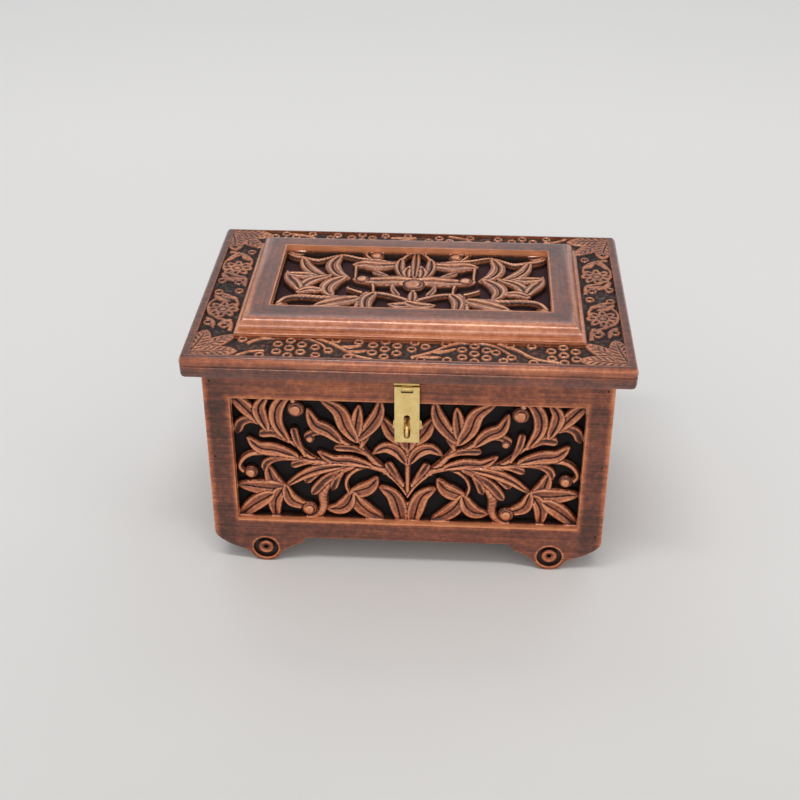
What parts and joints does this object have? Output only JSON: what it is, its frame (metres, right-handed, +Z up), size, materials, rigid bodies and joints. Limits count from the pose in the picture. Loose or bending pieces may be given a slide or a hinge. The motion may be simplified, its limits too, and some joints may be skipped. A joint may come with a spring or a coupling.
{
  "type": "carved jewelry box",
  "caption": "Carved wooden jewelry box with pierced leaf panels, bracket feet, a hinged moulded lid with a sunk carved band, and a small brass hasp and staple.",
  "frame": {"origin": "bottom centre of the box, on the plane its feet stand on", "axes": "+X to the viewer's right along the front, +Y toward the hinged back, +Z up"},
  "size_m": [0.254, 0.1696, 0.1588],
  "materials": {
    "rubbed_wood": "dark stained wood with rubbed copper-bronze highlights, satin",
    "dark_wood": "dark stained carved wood, satin",
    "brass": "pale polished brass",
    "brad_steel": "darkened steel brads",
    "lining_cloth": "near-black velvet lining",
    "maroon_cloth": "dark maroon velvet"
  },
  "bodies": {
    "case": {"front_board": "rubbed_wood", "back_board": "rubbed_wood", "left_board": "rubbed_wood", "right_board": "rubbed_wood", "front_fret": "rubbed_wood", "back_fret": "rubbed_wood", "left_fret": "rubbed_wood", "right_fret": "rubbed_wood", "front_roundels": "rubbed_wood", "back_roundels": "rubbed_wood", "bottom_board": "dark_wood", "left_case_leaf": "brass", "right_case_leaf": "brass", "case_leaf_screws": "brass", "staple_plate": "brass", "staple": "brass", "staple_pins": "brass", "left_hinge_pin": "brass", "right_hinge_pin": "brass", "front_backing": "lining_cloth", "back_backing": "lining_cloth", "left_backing": "lining_cloth", "right_backing": "lining_cloth", "floor_pad": "lining_cloth", "corner_brads": "brad_steel"},
    "lid": {"lid_slab": "rubbed_wood", "lid_border": "dark_wood", "raised_frame": "rubbed_wood", "lid_fret": "rubbed_wood", "lid_backing": "maroon_cloth", "lid_pad": "lining_cloth", "left_lid_leaf": "brass", "right_lid_leaf": "brass", "lid_leaf_screws": "brass", "hasp_hanger": "brass", "hanger_screws": "brass"},
    "hasp": {"hasp_plate": "brass"}
  },
  "joints": [
    {"name": "lid_hinge", "type": "hinge", "parent": "case", "child": "lid", "pos_m": [0, 0.0772, 0.13485], "axis": [-1, 0, 0], "range_deg": [0, 100]},
    {"name": "hasp_swing", "type": "hinge", "parent": "lid", "child": "hasp", "pos_m": [0, -0.078, 0.1285], "axis": [-1, 0, 0], "range_deg": [0, 110]}
  ]
}
